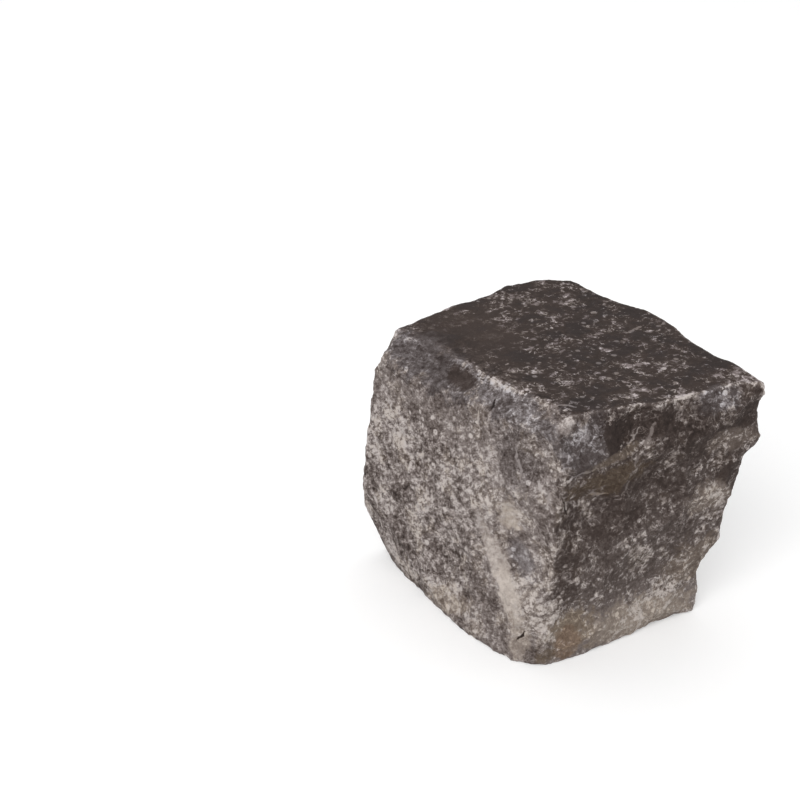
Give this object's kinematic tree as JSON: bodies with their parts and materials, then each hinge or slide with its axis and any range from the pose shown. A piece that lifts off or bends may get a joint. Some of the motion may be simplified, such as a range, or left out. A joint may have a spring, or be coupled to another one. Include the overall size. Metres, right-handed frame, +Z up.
{
  "type": "cobblestone",
  "caption": "Rough hand-split basalt cobblestone: a near-cubic block with flat broken faces, shell-shaped hollows and chipped edges.",
  "frame": {"origin": "on the floor, under the middle of the stone's bounding box", "axes": "+Z up to the flat top, +Y along the longer horizontal side, X across it"},
  "size_m": [0.0998, 0.1194, 0.1],
  "materials": {
    "basalt": "rough split stone, dull, with fine pale flecks"
  },
  "bodies": {
    "root": {"cobblestone": "basalt"}
  },
  "joints": []
}
